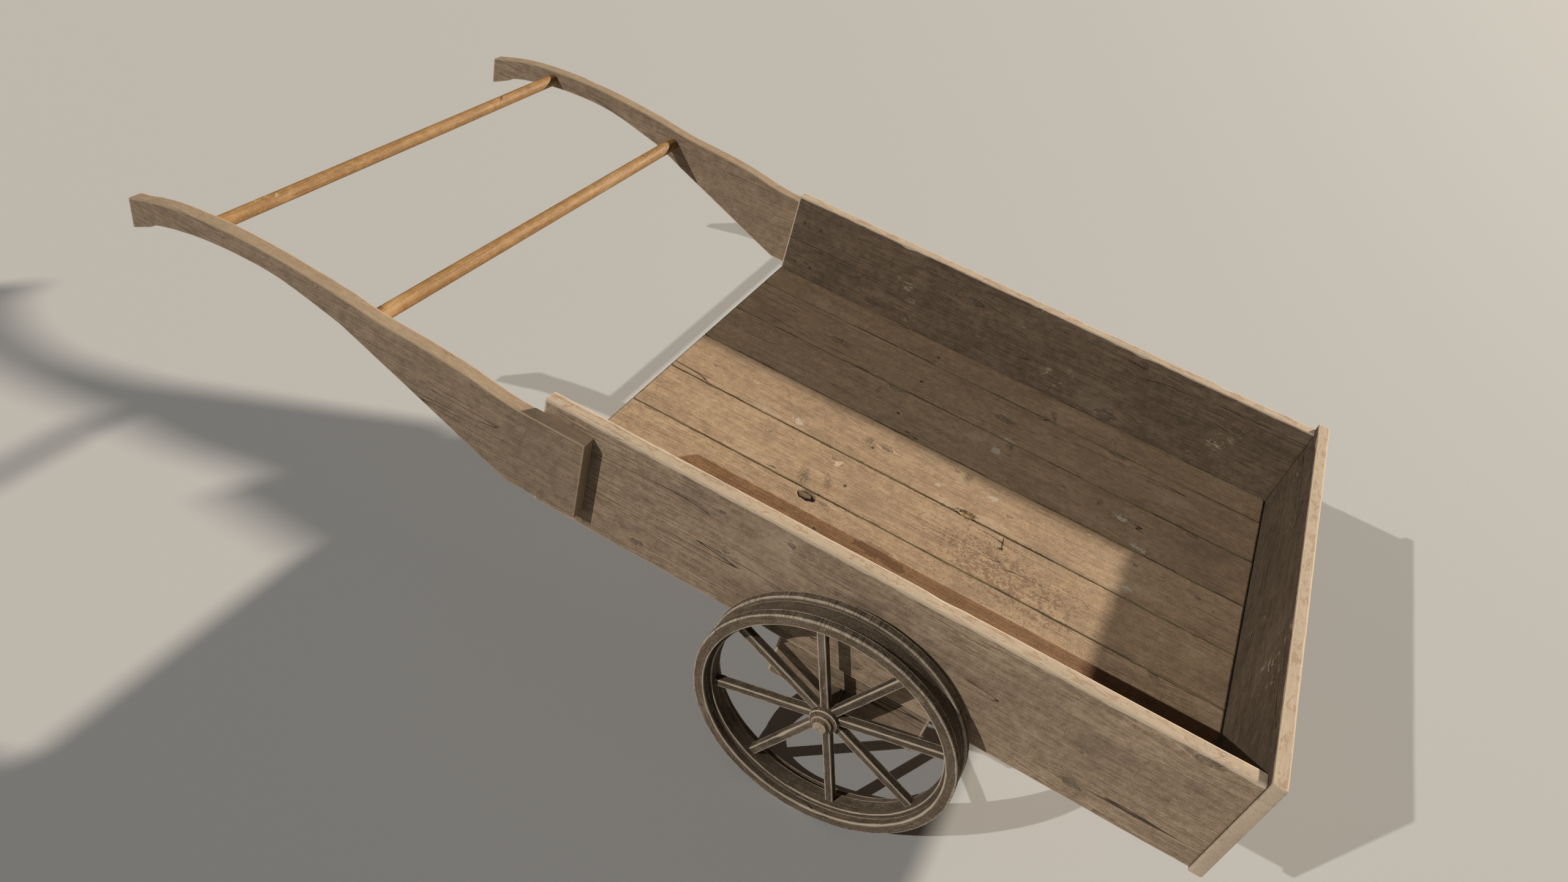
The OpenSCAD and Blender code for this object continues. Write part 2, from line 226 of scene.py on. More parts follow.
class Wood(Graph):
    """Weathered wood. The grain attribute runs along, across and through each piece.

    The fibres run from dark to light. Worn is bare wood and stain is smudged wood. Pitch is
    the distance between growth lines, in metres. Lines, knots, scuffs, cracks and pits say how
    much of each there is, from 0 to 1. Edges are worn, or have dirt on them."""

    mark_reliefs = ()

    def __init__(self, name, dark, light, worn, stain, pitch=0.0027, lines=0.4, knots=0.45,
                 knot_grey=0.6, scuffs=0.5, cracks=0.5, pits=0.3, dirt=None, roughness=0.85,
                 relief=1.0):
        super().__init__(name)
        self.dark, self.light, self.worn, self.stain = dark, light, worn, stain
        self.grain = self.attribute("grain", "Vector")
        self.bleach = self.attribute("bleach")
        self.rough_edge = self.noise(self.grain, 130.0, 2.0, 0.6)
        self.cloud = self.streaks(self.grain, 7.0, 12.0, 5.0, 0.66, 0.3)
        self.find_fibres()
        self.find_knots(knots)
        self.find_growth_lines(pitch)
        self.find_streaks()
        self.find_damage(cracks, scuffs, pits)
        colour = self.smudged(self.fibre_colour(lines))
        colour = self.damaged(self.knotted(colour, knot_grey))
        colour = self.bleached(self.marked(colour))
        colour = self.hatched(self.edged(colour, dirt))
        self.put(self.shader.inputs["Base Color"], colour)
        self.put(self.shader.inputs["Roughness"],
                 self.math("MULTIPLY_ADD", self.hair, 0.2, roughness - 0.1, clamp=True))
        self.shader.inputs["Specular IOR Level"].default_value = 0.25
        self.bump(self.surface_height(), 0.0012 * relief)

    def find_fibres(self):
        """The grain with a slow wander across its length."""
        wander = self.streaks(self.grain, 1.5, 7.0, 2.0, colour=True)
        wander = self.vector("SUBTRACT", wander, (0.5, 0.5, 0.5))
        wander = self.vector("MULTIPLY", wander, (0.0, 0.034, 0.034))
        self.fibre = self.vector("ADD", self.grain, wander)

    def find_knots(self, share):
        """Scattered knots, 2 to 8 mm in radius, and how far they push growth lines aside."""
        cell = (8.0, 17.0, 1.0)
        lattice = self.vector("MULTIPLY", self.fibre, cell)
        spots = self.node("ShaderNodeTexVoronoi", feature="F1")
        self.put(spots.inputs["Vector"], lattice)
        spots.inputs["Scale"].default_value = 1.0
        spots.inputs["Randomness"].default_value = 0.9
        chance = self.node("ShaderNodeSeparateColor")
        self.put(chance.inputs[0], spots.outputs["Color"])
        there = self.step(chance.outputs[0], 1.0 - share, 1.001 - share)
        offset = self.vector("SUBTRACT", lattice, spots.outputs["Position"])
        offset = self.vector("MULTIPLY", offset, (0.5 / cell[0], 1.0 / cell[1], 0.0))
        size = self.math("MULTIPLY_ADD", self.math("POWER", chance.outputs[1], 4.0),
                         0.0060, 0.0020)
        near = self.math("DIVIDE", self.vector("LENGTH", offset), size)
        swirl = self.times(self.math("EXPONENT", self.times(near, -0.33)), there)
        self.knot_push = self.times(swirl, self.times(self.parts(offset)["Y"], -1.5))
        self.knot_near = self.math("ADD", near,
                                   self.math("MULTIPLY_ADD", self.rough_edge, 3.0, -1.5))
        self.knot_core = self.times(self.step(self.knot_near, 1.5, 0.1), there)
        rim = self.times(self.step(self.knot_near, 0.4, 1.0), self.step(self.knot_near, 1.6, 1.0))
        self.knot_rim = self.times(rim, there)

    def find_growth_lines(self, pitch):
        """Growth lines, bent round the knots, that come and go in patches."""
        along, across, through = self.parts(self.fibre)
        depth = self.math("MULTIPLY_ADD", through, 0.8, across)
        phase = self.math("ADD", depth, self.knot_push)
        wave = self.math("SINE", self.times(phase, 2 * math.pi / pitch))
        ring = self.math("MULTIPLY_ADD", wave, 0.5, 0.5)
        self.patches = self.streaks(self.grain, 3.5, 10.0)
        self.ring_line = self.times(self.math("POWER", ring, 2.5),
                                    self.step(self.patches, 0.34, 0.66))
        place = self.node("ShaderNodeCombineXYZ")
        for socket, part, scale in zip(place.inputs, (along, phase, through), (3.0, 90.0, 90.0)):
            self.put(socket, self.times(part, scale))
        self.streak_at = place.outputs[0]

    def find_streaks(self):
        """Streaks at three widths under a fine mottle."""
        broad = self.noise(self.streak_at, 1.0, 2.0, 0.6)
        fine = self.streaks(self.streak_at, 3.0, 4.0, 3.0, 0.75)
        self.hair = self.streaks(self.streak_at, 13.0, 15.0, 2.0, 0.7)
        mottle = self.noise(self.grain, 60.0, 4.0, 0.72)
        self.streak = self.add_up(self.times(broad, 0.12), (fine, 0.32), (self.hair, 0.28),
                                  (mottle, 0.28))

    def find_damage(self, cracks, scuffs, pits):
        """Long cracks that follow the grain, scuffs and pits."""
        crack_field = self.streaks(self.fibre, 1.6, 30.0, 1.0)
        crack_band = self.math("ABSOLUTE", self.math("SUBTRACT", crack_field, 0.5))
        crack_where = self.streaks(self.grain, 2.6, 19.0, 2.0)
        self.crack = self.times(self.step(crack_band, 0.0045, 0.0010),
                                self.step(crack_where, 0.65 - 0.14 * cracks,
                                          0.70 - 0.14 * cracks))
        self.scuff_field = self.streaks(self.grain, 60.0, 120.0, 4.0, 0.7, 0.5)
        self.scuff_where = self.noise(self.grain, 9.0, 3.0, 0.6)
        self.scuff = self.times(self.step(self.scuff_field, 0.50, 0.60),
                                self.step(self.scuff_where, 0.70 - 0.12 * scuffs,
                                          0.78 - 0.12 * scuffs))
        pit = self.times(self.step(self.rough_edge, 0.70, 0.76),
                         self.step(self.scuff_where, 0.46 - 0.1 * pits, 0.38 - 0.1 * pits))
        self.pit = self.times(pit, pits)

    def fibre_colour(self, lines):
        """Streaks, growth lines, fine dark threads and grit."""
        colour = self.mix(self.step(self.streak, 0.39, 0.61), self.dark, self.light)
        colour = self.tint(colour, self.ring_line, lines, shade(self.dark, 0.45))
        threads = self.streaks(self.streak_at, 3.6, 5.5, 2.0, 0.6)
        threads = self.times(self.step(threads, 0.54, 0.63), self.step(self.patches, 0.62, 0.38))
        colour = self.tint(colour, threads, lines + 0.05, shade(self.dark, 0.4))
        grit = self.streaks(self.grain, 300.0, 620.0, 2.0, 0.6)
        colour = self.tint(colour, self.step(grit, 0.60, 0.70), 0.4, self.worn)
        return self.tint(colour, self.step(grit, 0.41, 0.31), 0.5, shade(self.dark, 0.4))

    def smudged(self, colour):
        """Smudges, faded clouds and each piece's own tone, which also holds painted light and
        shade on faces turned one way.
        """
        colour = self.tint(colour, self.step(self.cloud, 0.50, 0.72), 0.55, self.stain)
        colour = self.tint(colour, self.step(self.cloud, 0.46, 0.30), 0.45,
                           between(self.light, self.worn, 0.5))
        return self.mix(1.0, colour, self.grey(self.attribute("tone")), "MULTIPLY")

    def knotted(self, colour, knot_grey):
        """Knots, with dark rims and rings of their own."""
        rings = self.math("SINE", self.times(self.knot_near, 9.0))
        greyed = between(self.dark, (sum(self.dark) / 3,) * 3, knot_grey)
        knot_tint = self.mix(self.math("MULTIPLY_ADD", rings, 0.3, 0.5), shade(greyed, 0.45),
                             shade(greyed, 0.85))
        colour = self.tint(colour, self.knot_core, 0.66, knot_tint)
        return self.tint(colour, self.knot_rim, 0.28, shade(self.dark, 0.25))

    def damaged(self, colour):
        """Dark cracks, pale scuffs and dark pits."""
        colour = self.tint(colour, self.crack, 0.85, shade(self.dark, 0.15))
        colour = self.tint(colour, self.scuff, 0.55, self.worn)
        return self.mix(self.pit, colour, shade(self.dark, 0.35))

    def marked(self, colour):
        """Marks at places of their own, which only some woods have."""
        return colour

    def bleached(self, colour):
        """Paler tops, partly wood bleached by sun and hands with brown flakes left, and partly
        painted light from above.
        """
        flake = self.streaks(self.grain, 34.0, 80.0, 4.0, 0.72, 0.6)
        pale_top = between(self.light, self.worn, 0.7)
        rubbed_and_lit = self.mix(self.step(self.streak, 0.40, 0.62), shade(pale_top, 0.85),
                          shade(pale_top, 1.05))
        rubbed_and_lit = self.tint(rubbed_and_lit, self.step(flake, 0.545, 0.56), 0.6, (0.36, 0.225, 0.145))
        rubbed_and_lit = self.tint(rubbed_and_lit, self.pit, 0.7, shade(self.dark, 0.5))
        rubbed_and_lit = self.tint(rubbed_and_lit, self.crack, 0.5, shade(self.dark, 0.4))
        patchy = self.math("MULTIPLY_ADD", self.cloud, -0.7, 1.28)
        return self.mix(self.math("MULTIPLY", self.bleach, patchy, clamp=True), colour, rubbed_and_lit)

    def edged(self, colour, dirt):
        """Worn or dirty edges with a broken outline."""
        wear = self.attribute("wear")
        broken = self.streaks(self.grain, 45.0, 160.0, 4.0, 0.7)
        edge = self.math("ADD", wear, self.math("MULTIPLY_ADD", broken, 1.1, -0.5))
        edge = self.times(self.step(edge, 0.3, 0.95), self.step(wear, 0.0, 0.4))
        edge_tint = shade(self.worn, 1.12)
        if dirt:
            edge_tint = self.mix(self.step(self.scuff_where, 0.42, 0.58), dirt, shade(dirt, 0.3))
        return self.tint(colour, edge, 0.85, edge_tint)

    def hatched(self, colour):
        """Short marks across the surfaces that rub on the ground."""
        hatch = self.attribute("hatch")
        field = self.streaks(self.grain, 760.0, 30.0, 3.0, 0.75)
        self.hatch_dark = self.times(self.step(field, 0.55, 0.64), hatch)
        hatch_pale = self.times(self.step(field, 0.44, 0.35), hatch)
        colour = self.tint(colour, self.hatch_dark, 0.45, shade(self.dark, 0.35))
        return self.tint(colour, hatch_pale, 0.3, self.worn)

    def surface_height(self):
        """Relief of everything above, weaker on the paler tops, which are bleached and painted
        lit.
        """
        height = self.add_up(self.streak, (self.ring_line, -0.3), (self.crack, -1.5),
                             (self.pit, -0.5), (self.scuff, 0.3), (self.knot_rim, -0.6),
                             (self.hatch_dark, -0.6))
        height = self.times(height, self.math("MULTIPLY_ADD", self.bleach, -0.6, 1.0))
        return self.add_up(height, *self.mark_reliefs)


# Marks on the box's floor: the place along and across the cart in metres, half the length
# and half the width in millimetres, and the turn in degrees
WHITE_SPLASHES = [(0.465, 0.233, 17, 7, 0), (0.456, 0.180, 20, 12, 0), (0.724, 0.167, 21, 9, 10),
                  (0.770, 0.105, 21, 13, 0), (0.491, 0.039, 15, 9, 0), (0.773, -0.014, 14, 8, 0),
                  (0.105, -0.020, 15, 12, 30), (0.678, 0.074, 8, 4, 0), (0.396, 0.005, 14, 5, 30)]
SPIKE_KNOTS = [(0.180, -0.150, 11, 26, 15), (0.222, -0.133, 8, 21, 25), (0.525, 0.381, 7, 20, 20),
               (0.660, 0.384, 6, 22, 25), (0.189, 0.189, 5, 15, 0), (0.476, 0.211, 7, 14, 5),
               (0.675, 0.177, 6, 13, 0), (0.434, 0.063, 9, 17, 0), (0.241, 0.026, 10, 12, 0)]
KNOT_HOLE = [(0.205, -0.193, 19, 11, 5)]
KNOT_ISLAND = [(0.202, -0.190, 14, 7, 5)]
SPLINTERS = [(0.465, -0.036, 16, 8, 0), (0.176, -0.044, 8, 3, 0)]
PALE_CHIP = [(0.218, -0.072, 6, 14, -25)]
CROSS_CRACK = [(0.545, -0.062, 1.6, 14, 8), (0.546, -0.078, 5, 2, 30)]
SEAM_DIRT = [(0.40, -0.043, 330, 3.6, 0), (0.28, -0.1775, 60, 3.2, 0)]
# Patches of painted shadow, darker spots inside the right side board's shadow
SHADOW_PATCHES = [(0.358, -0.236, 34, 15, 0), (0.40, -0.245, 22, 10, 0)]
SPECKLED = [(0.57, -0.14, 230, 110, -6)]

# Painted shadow: a brown zone where the key light's shadow of the right side board falls,
# between that board and the line Y = PAINTED_SHADOW_EDGE. Its rear end is the line X -
# PAINTED_SHADOW_SLANT * Y = PAINTED_SHADOW_START
PAINTED_SHADOW_EDGE = -0.229
PAINTED_SHADOW_SLANT = 0.787
PAINTED_SHADOW_START = 0.183
PAINTED_SHADOW_TINT = (0.60, 0.26, 0.0)

# Marks that are real hollows, with their depths (the island in the knot hole stands up)
FLOOR_DENTS = [(KNOT_HOLE[0], 6 * MM), (KNOT_ISLAND[0], -3.5 * MM), (SPLINTERS[0], 3 * MM),
               (PALE_CHIP[0], 1.2 * MM), (CROSS_CRACK[1], 2 * MM)]


class FloorWood(Wood):
    """Floor wood, with splashes, knots, splinters, dirt and painted shadow at their places."""

    def nearest(self, marks, edge=0.0):
        """Distance from the nearest of some ellipses, 1 at its border, plus an uneven edge."""
        nearest = None
        for x, y, length, width, turn in marks:
            at = self.vector("SUBTRACT", self.place, (x, y, 0))
            if turn:
                turned = self.node("ShaderNodeVectorRotate", rotation_type="Z_AXIS")
                self.put(turned.inputs["Vector"], at)
                turned.inputs["Angle"].default_value = math.radians(-turn)
                at = turned.outputs[0]
            at = self.vector("MULTIPLY", at, (1 / (length * MM), 1 / (width * MM), 0))
            far = self.vector("LENGTH", at)
            nearest = far if nearest is None else self.math("MINIMUM", nearest, far)
        return self.math("ADD", nearest, edge)

    def marked(self, colour):
        """All marks in turn. Ragged, soft and calm are three kinds of uneven border."""
        self.place = self.node("ShaderNodeTexCoord").outputs["Object"]
        blot = self.noise(self.place, 95.0, 4.0, 0.7, 0.8)
        self.ragged = self.math("MULTIPLY_ADD", blot, 4.4, -2.2)
        self.soft = self.math("MULTIPLY_ADD", self.rough_edge, 1.3, -0.65)
        self.calm = self.math("MULTIPLY_ADD", self.rough_edge, 0.6, -0.3)
        self.mark_reliefs = []
        colour = self.spiked(self.painted_shadow_strip(self.speckled(colour)))
        return self.holed(self.split(self.splashed(colour)))

    def speckled(self, colour):
        """Small brown specks, more of them in one zone, and patches of painted shadow."""
        speck = self.noise(self.place, 80.0, 5.0, 0.7, 0.6)
        crumbs = self.noise(self.place, 260.0, 1.0)
        zone = self.step(self.nearest(SPECKLED), 1.15, 0.2)
        specks = self.math("MAXIMUM",
                           self.step(self.math("MULTIPLY_ADD", zone, 0.16, speck), 0.665, 0.685),
                           self.step(self.math("MULTIPLY_ADD", zone, 0.12, crumbs), 0.71, 0.74))
        colour = self.tint(colour, specks, 0.62, (0.155, 0.092, 0.054))
        # Painted shadow: dark patches beside the right side board
        painted_shadow_patch = self.step(self.nearest(SHADOW_PATCHES, self.soft), 1.1, 0.95)
        return self.tint(colour, painted_shadow_patch, 0.55, (0.13, 0.07, 0.035))

    def painted_shadow_strip(self, colour):
        """Painted shadow: a brown strip beside the right side board, where that board's shadow
        falls.
        """
        x, y, _ = self.parts(self.place)
        slanted = self.math("MULTIPLY_ADD", y, -PAINTED_SHADOW_SLANT, x)
        # Mask of the painted shadow of the right side board
        in_painted_shadow = self.times(self.step(y, PAINTED_SHADOW_EDGE, PAINTED_SHADOW_EDGE - 2 * MM),
                            self.step(slanted, PAINTED_SHADOW_START, PAINTED_SHADOW_START + 2 * MM))
        return self.tint(colour, in_painted_shadow, 0.5, self.vector("MULTIPLY", colour, PAINTED_SHADOW_TINT))

    def spiked(self, colour):
        """Long knots cut along their length, with fibres across the plank."""
        knot = self.nearest(SPIKE_KNOTS, self.calm)
        core = self.step(knot, 1.4, 0.2)
        rim = self.times(self.step(knot, 0.6, 0.95), self.step(knot, 1.3, 1.0))
        stretched = self.vector("MULTIPLY", self.place, (330.0, 60.0, 0.0))
        fibres = self.step(self.noise(stretched, 1.0, 4.0, 0.7, 1.2), 0.36, 0.62)
        colour = self.tint(colour, core, 0.75,
                           self.mix(fibres, (0.085, 0.055, 0.034), (0.38, 0.265, 0.165)))
        self.mark_reliefs.append((self.times(core, fibres), 0.6))
        return self.tint(colour, rim, 0.06, (0.06, 0.043, 0.028))

    def splashed(self, colour):
        """Dried white splashes and a pale chip."""
        splash = self.step(self.nearest(WHITE_SPLASHES, self.ragged), 0.9, 0.4)
        colour = self.tint(colour, splash, 0.5, (0.60, 0.54, 0.45))
        chip = self.step(self.nearest(PALE_CHIP, self.soft), 1.1, 0.85)
        self.mark_reliefs += [(splash, 0.4), (chip, -1.2)]
        return self.tint(colour, chip, 0.7, (0.55, 0.42, 0.27))

    def split(self, colour):
        """Splinters that stand out rusty and yellow, and dirt along two seams."""
        split = self.step(self.nearest(SPLINTERS, self.ragged), 1.3, 0.8)
        torn = self.mix(self.step(self.scuff_field, 0.42, 0.62), (0.16, 0.05, 0.018),
                        (0.56, 0.38, 0.16))
        colour = self.tint(colour, split, 0.9, torn)
        self.mark_reliefs.append((self.times(split, self.scuff_field), 3.0))
        seam = self.step(self.nearest(SEAM_DIRT, self.ragged), 1.1, 0.4)
        return self.tint(colour, seam, 0.8, (0.075, 0.043, 0.022))

    def holed(self, colour):
        """The knot hole, painted near black as the shade inside it, with an island in it, and a
        crack across a plank.
        """
        hole = self.step(self.nearest(KNOT_HOLE, self.calm), 1.05, 0.85)
        island = self.step(self.nearest(KNOT_ISLAND, self.calm), 1.0, 0.75)
        crack = self.step(self.nearest(CROSS_CRACK, self.soft), 1.2, 0.8)
        self.mark_reliefs += [(hole, -1.0), (crack, -2.0)]
        # Painted shade: the hole is painted near black
        colour = self.mix(hole, colour, (0.03, 0.019, 0.011))
        colour = self.tint(colour, island, 0.8, (0.20, 0.135, 0.083))
        return self.tint(colour, crack, 0.8, (0.03, 0.02, 0.012))


def make_iron():
    """Dull nail iron with rust on it."""
    g = Graph("iron")
    place = g.node("ShaderNodeTexCoord").outputs["Object"]
    rust = g.step(g.noise(place, 260.0, 4.0, 0.65), 0.42, 0.62)
    g.put(g.shader.inputs["Base Color"], g.mix(rust, (0.05, 0.045, 0.042), (0.13, 0.075, 0.045)))
    g.shader.inputs["Metallic"].default_value = 0.4
    g.put(g.shader.inputs["Roughness"], g.math("MULTIPLY_ADD", rust, 0.25, 0.55))
    g.bump(g.noise(place, 900.0, 3.0, 0.6), 0.0004)
    return g


def make_materials():
    """All materials by name. Each wood gives its dark, light, worn and stained colours."""
    made = [
        Wood("board_wood", (0.22, 0.154, 0.102), (0.47, 0.346, 0.238), (0.56, 0.45, 0.335),
             (0.150, 0.111, 0.080), lines=0.5, knots=0.34, scuffs=0.65, cracks=0.75, pits=0.6),
        FloorWood("floor_wood", (0.250, 0.166, 0.101), (0.46, 0.318, 0.198), (0.54, 0.44, 0.33),
                  (0.195, 0.135, 0.090), lines=0.15, knots=0.22, scuffs=0.3, cracks=0.6,
                  pits=1.0, dirt=(0.15, 0.118, 0.052)),
        Wood("shaft_wood", (0.20, 0.141, 0.094), (0.385, 0.288, 0.200), (0.42, 0.31, 0.205),
             (0.15, 0.112, 0.08), pitch=0.0034, knots=0.3, scuffs=0.8, cracks=0.8, pits=0.4),
        Wood("bar_wood", (0.245, 0.127, 0.044), (0.43, 0.245, 0.095), (0.72, 0.49, 0.26),
             (0.26, 0.14, 0.05), pitch=0.005, lines=0.25, knots=0.15, knot_grey=0.1, scuffs=0.1,
             cracks=0.2, pits=0.5, roughness=0.62, relief=0.5),
        Wood("wheel_wood", (0.080, 0.057, 0.038), (0.195, 0.147, 0.102), (0.54, 0.45, 0.35),
             (0.10, 0.075, 0.055), pitch=0.0024, lines=0.5, knots=0.12, scuffs=0.3, cracks=0.9,
             pits=0.4),
        Wood("turned_wood", (0.19, 0.135, 0.090), (0.36, 0.27, 0.19), (0.56, 0.46, 0.35),
             (0.13, 0.098, 0.07), knots=0.0, scuffs=0.3, cracks=0.5, pits=0.2),
        make_iron(),
    ]
    return {graph.name: graph.material for graph in made}


# ---- meshes ----

def wobble(*key):
    """Smooth noise from -1 to 1 at a point of up to three numbers."""
    return noise.noise(Vector((*key, 0.0, 0.0, 0.0)[:3]))


# Counts the pieces, so that each has its own grain, tone and damage
seeds = itertools.count(1)


def tone_of(seed):
    """Brightness of a piece, about 1."""
    return 1.0 + 0.13 * wobble(seed * 3.71, 0.37)


def grain_shift(seed):
    """Where in endless wood a piece is cut from, so that no two pieces look alike."""
    return np.array([seed * 3.17, seed * 0.71, seed * 0.43])


def swept_mesh(name, points, grain, wear, hatch, tone, closed, bleach=0.0, facing=None):
    """Mesh of a section carried through stations, with caps at its ends unless it is closed.

    All arrays are [station, section point]. A closed one repeats its first station in grain,
    wear and hatch, where the grain has gone once round."""
    stations, size = points.shape[:2]
    mesh = bpy.data.meshes.new(name)
    links = stations if closed else stations - 1
    here, point = np.meshgrid(np.arange(links), np.arange(size), indexing="ij")
    following, neighbour = here + 1, (point + 1) % size
    corner_station = np.stack([here, here, following, following], axis=-1)
    corner_place = np.stack([point, neighbour, neighbour, point], axis=-1)
    quads = (corner_station % stations) * size + corner_place
    faces = quads.reshape(-1, 4).tolist()
    picks = [corner_station.reshape(-1), corner_place.reshape(-1)]
    if not closed:
        faces.append(list(range(size))[::-1])
        faces.append([(stations - 1) * size + n for n in range(size)])
        caps = [(0, n) for n in range(size)][::-1] + [(stations - 1, n) for n in range(size)]
        picks = [np.concatenate([p, [c[i] for c in caps]]) for i, p in enumerate(picks)]
    mesh.from_pydata(points.reshape(-1, 3).tolist(), [], faces)
    station, place = picks
    vector = mesh.attributes.new("grain", "FLOAT_VECTOR", "CORNER")
    vector.data.foreach_set("vector", grain[station, place].astype(np.float32).reshape(-1))
    for label, values in (("wear", wear), ("hatch", hatch)):
        spread = mesh.attributes.new(label, "FLOAT", "CORNER")
        spread.data.foreach_set("value", values[station, place].astype(np.float32))
    return face_attributes(finish_mesh(mesh), tone, bleach, facing)


def face_attributes(mesh, tone, bleach, facing):
    """Tone, paler tops (bleached and painted light), and a direction whose faces get painted
    shade or painted light by a factor.
    """
    normals = np.zeros(3 * len(mesh.polygons), np.float32)
    mesh.polygons.foreach_get("normal", normals)
    normals = normals.reshape(-1, 3)
    totals = [p.loop_total for p in mesh.polygons]
    tones = np.full(len(totals), tone)
    # Faces turned one way get painted shade (factor below 1) or painted light (factor above 1)
    if facing:
        direction, factor = facing
        tones *= np.where(normals @ np.array(direction, float) > 0.5, factor, 1.0)
    # Upward faces paler: bleached wood and painted light from above
    upward = np.clip((normals[:, 2] - 0.45) / 0.4, 0, 1) * bleach
    for label, values in (("tone", tones), ("bleach", upward)):
        spread = mesh.attributes.new(label, "FLOAT", "CORNER")
        spread.data.foreach_set("value", np.repeat(values, totals).astype(np.float32))
    return mesh


SHARP_ANGLE = math.radians(32)


def finish_mesh(mesh):
    """Faces outward, smooth except at sharp edges."""
    work = bmesh.new()
    work.from_mesh(mesh)
    bmesh.ops.recalc_face_normals(work, faces=work.faces)
    work.to_mesh(mesh)
    work.free()
    mesh.shade_smooth()
    mesh.set_sharp_from_angle(angle=SHARP_ANGLE)
    return mesh


def place_piece(name, mesh, material, body, node):
    """Puts a mesh in the scene in place of a CAD node."""
    piece = bpy.data.objects.new(name, mesh)
    bpy.context.scene.collection.objects.link(piece)
    mesh.materials.append(materials[material])
    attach(piece, body)
    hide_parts(node)
    return piece


def chamfer_depth(seed, corner, run, size):
    """Size of the worn chamfer at a place along an edge: uneven, with a few deep dents."""
    base = 0.85 + 0.45 * wobble(run * 9.0, seed * 1.7, corner) \
        + 0.3 * wobble(run * 41.0, seed * 2.3, corner + 5.0)
    dent = max(0.0, wobble(run * 17.0, seed * 3.1, corner + 11.0) - 0.38) * 4.0
    return size * max(0.3, base + dent)


GRADIENT = 2.6 * MM      # how far wear fades from an edge
DENT_STEP = 1.5 * MM     # distance between points in a dent
CORNER_INSET = 0.29      # of a chamfer: how far in the middle of a rounded corner lies
SECTION_WEAR = (0.0, 0.75, 1.0, 0.75, 0.0)   # at the five points of a corner


def section_points(low, high, chamfers, shares, fades=(GRADIENT,) * 4):
    """Closed section of a worn rectangle, from its low and high corner, counterclockwise.

    Each corner gives five points, where wear fades over its own distance, and each long side
    gets points at some shares of its length. Returns the points and the wear at each."""
    corners = [(low[0], low[1], 1, 1), (high[0], low[1], -1, 1),
               (high[0], high[1], -1, -1), (low[0], high[1], 1, -1)]
    reaches = [chamfer + fade for chamfer, fade in zip(chamfers, fades)]
    points, weights = [], []
    for index, (a, d, to_a, to_d) in enumerate(corners):
        steps = [(0, reaches[index]), (0, chamfers[index]),
                 (CORNER_INSET * chamfers[index], CORNER_INSET * chamfers[index]),
                 (chamfers[index], 0), (reaches[index], 0)]
        ring = [(a + to_a * step_a, d + to_d * step_d) for step_a, step_d in steps]
        if index % 2:
            ring.reverse()
        points += ring
        weights += SECTION_WEAR
        if index % 2 == 0:
            next_a, _, back, _ = corners[index + 1]
            start, end = ring[-1][0], next_a + back * reaches[index + 1]
            onward = shares if index == 0 else [1 - share for share in reversed(shares)]
            points += [(start + (end - start) * share, d) for share in onward]
            weights += [0.0] * len(onward)
    return points, weights


def dense_places(places, centre, half, step):
    """Places with some more, close together, round a centre."""
    extra = np.arange(centre - 1.3 * half, centre + 1.3 * half, step)
    kept = [p for p in places if abs(p - centre) > 1.3 * half + 0.5 * step]
    return sorted(kept + extra.tolist())


def dent_depth(dents, run, across):
    """How deep the dents are at a place on a board's upper face, with uneven borders."""
    total = 0.0
    for x, y, half_x, half_y, depth in dents:
        reach = math.hypot((run - x) / half_x, (across - y) / half_y)
        reach += 0.18 * wobble(run * 170.0, across * 170.0, 3.0)
        share = min(1.0, max(0.0, (1.15 - reach) / 0.4))
        total += depth * share * share * (3 - 2 * share)
    return max(0.0, total)


def run_stations(length, end_chamfer, spacing):
    """Places along a piece, close together at its chamfered ends, with the inset at each."""
    corner = CORNER_INSET * end_chamfer
    ends = [(0.0, end_chamfer), (corner, corner), (end_chamfer, 0.0),
            (end_chamfer + GRADIENT, 0.0)]
    inner_start, inner_end = ends[-1][0], length - ends[-1][0]
    count = max(1, round((inner_end - inner_start) / spacing))
    inner = [(inner_start + (inner_end - inner_start) * i / count, 0.0) for i in range(1, count)]
    return ends + inner + [(length - run, inset) for run, inset in reversed(ends)]


def board_grid(length, width, chamfer, spacing, mids, dents):
    """Stations along a board with their insets, and shares of its width, dense at dents."""
    shares = [(i + 1) / (mids + 1) for i in range(mids)]
    stations = dict(run_stations(length, chamfer, spacing))
    for run, across, half_run, half_across, _ in dents:
        shares = dense_places(shares, across / width, half_across / width, DENT_STEP / width)
        runs = dense_places(list(stations), run, half_run, DENT_STEP)
        stations = {place: stations.get(place, 0.0) for place in runs}
    return stations, [share for share in shares if 0.02 < share < 0.98]


